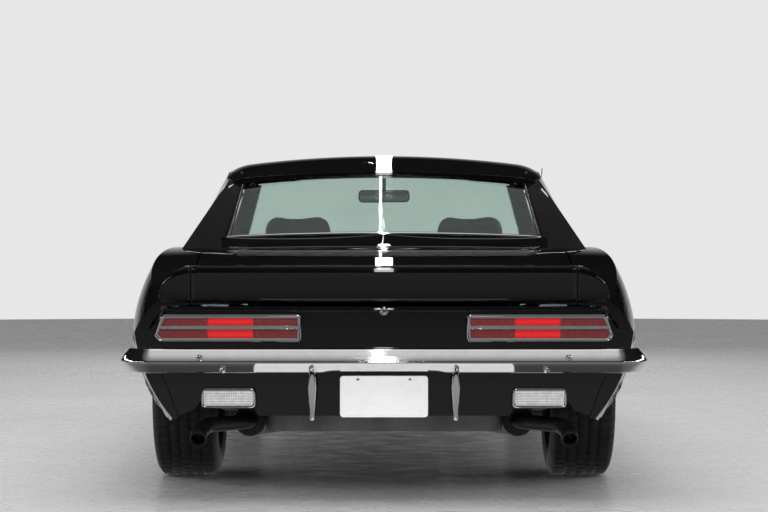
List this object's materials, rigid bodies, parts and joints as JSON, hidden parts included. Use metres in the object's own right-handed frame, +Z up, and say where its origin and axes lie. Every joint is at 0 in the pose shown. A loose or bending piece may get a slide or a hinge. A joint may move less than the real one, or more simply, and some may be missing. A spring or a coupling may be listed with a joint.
{
  "type": "two-door muscle coupe",
  "caption": "Late-1960s two-door muscle coupe with a three-piece deck spoiler, wide tail lamps, chrome bumpers, opening doors, hood and trunk lid, steered and rolling wheels.",
  "frame": {"origin": "on the ground, half way along the car and on its centre plane", "axes": "+X forward, +Y to the driver's left side, +Z up"},
  "size_m": [4.724, 1.878, 1.2983],
  "materials": {
    "body_paint": "deep black clear-coated gloss",
    "chrome_trim": "bright plated",
    "window_glass": "green-tinted, smooth",
    "lamp_red": "ribbed translucent red",
    "lamp_clear": "ribbed clear lens",
    "plate_white": "satin white",
    "seat_vinyl": "grained black vinyl",
    "cabin_plastic": "grained matt",
    "grille_black": "satin black",
    "underbody_metal": "dull underbody coating",
    "engine_iron": "rough casting",
    "rim_silver": "silver argent",
    "tyre_rubber": "matt black rubber"
  },
  "bodies": {
    "root": {"antenna": "chrome_trim", "backup_lamps": "lamp_clear", "cowl": "body_paint", "dashboard": "cabin_plastic", "driveline": "underbody_metal", "engine": "engine_iron", "exhaust": "underbody_metal", "floor_pan": "underbody_metal", "front_bumper": "chrome_trim", "front_fender_left": "body_paint", "front_fender_right": "body_paint", "front_panel": "body_paint", "front_seat_left": "seat_vinyl", "front_seat_right": "seat_vinyl", "front_suspension": "underbody_metal", "fuel_tank": "underbody_metal", "grille": "grille_black", "headlamps": "lamp_clear", "inside_mirror": "cabin_plastic", "lid_hinges": "underbody_metal", "plate": "plate_white", "quarter_left": "body_paint", "quarter_right": "body_paint", "rear_axle": "underbody_metal", "rear_bumper": "chrome_trim", "rear_glass": "window_glass", "rear_seat": "seat_vinyl", "roof": "body_paint", "steering_wheel": "cabin_plastic", "tail_lamp_bezels": "chrome_trim", "tail_lamps": "lamp_red", "tail_panel": "body_paint", "trunk_floor": "underbody_metal", "tulip_panel": "body_paint", "windshield": "window_glass"},
    "hood": {"hood": "body_paint"},
    "trunk_lid": {"trunk_lid": "body_paint"},
    "door_left": {"door_left": "body_paint", "door_glass_left": "window_glass", "door_mirror": "chrome_trim"},
    "door_right": {"door_right": "body_paint", "door_glass_right": "window_glass"},
    "knuckle_left": {"knuckle_left": "underbody_metal"},
    "knuckle_right": {"knuckle_right": "underbody_metal"},
    "wheel_front_left": {"rim_front_left": "rim_silver", "tyre_front_left": "tyre_rubber"},
    "wheel_front_right": {"rim_front_right": "rim_silver", "tyre_front_right": "tyre_rubber"},
    "wheel_rear_left": {"rim_rear_left": "rim_silver", "tyre_rear_left": "tyre_rubber"},
    "wheel_rear_right": {"rim_rear_right": "rim_silver", "tyre_rear_right": "tyre_rubber"}
  },
  "joints": [
    {"name": "hood_hinge", "type": "hinge", "parent": "root", "child": "hood", "pos_m": [0.906, 0, 0.86809], "axis": [0, -1, 0], "range_deg": [0, 50]},
    {"name": "trunk_hinge", "type": "hinge", "parent": "root", "child": "trunk_lid", "pos_m": [-1.492, 0, 0.87066], "axis": [0, 1, 0], "range_deg": [0, 65]},
    {"name": "door_left_hinge", "type": "hinge", "parent": "root", "child": "door_left", "pos_m": [0.79801, 0.88, 0.6], "axis": [0, 0, -1], "range_deg": [0, 64]},
    {"name": "door_right_hinge", "type": "hinge", "parent": "root", "child": "door_right", "pos_m": [0.79801, -0.88, 0.6], "axis": [0, 0, 1], "range_deg": [0, 64]},
    {"name": "steer_left", "type": "hinge", "parent": "root", "child": "knuckle_left", "pos_m": [1.428, 0.7215, 0.33], "axis": [0, 0, 1], "range_deg": [-31, 31]},
    {"name": "steer_right", "type": "hinge", "parent": "root", "child": "knuckle_right", "pos_m": [1.428, -0.7215, 0.33], "axis": [0, 0, 1], "range_deg": [-31, 31]},
    {"name": "spin_front_left", "type": "hinge", "parent": "knuckle_left", "child": "wheel_front_left", "pos_m": [1.428, 0.7555, 0.33], "axis": [0, 1, 0], "continuous": true},
    {"name": "spin_front_right", "type": "hinge", "parent": "knuckle_right", "child": "wheel_front_right", "pos_m": [1.428, -0.7555, 0.33], "axis": [0, 1, 0], "continuous": true},
    {"name": "spin_rear_left", "type": "hinge", "parent": "root", "child": "wheel_rear_left", "pos_m": [-1.315, 0.7555, 0.33], "axis": [0, 1, 0], "continuous": true},
    {"name": "spin_rear_right", "type": "hinge", "parent": "root", "child": "wheel_rear_right", "pos_m": [-1.315, -0.7555, 0.33], "axis": [0, 1, 0], "continuous": true}
  ],
  "couplings": [
    {"joint": "steer_right", "follows": "steer_left", "ratio": 1}
  ]
}
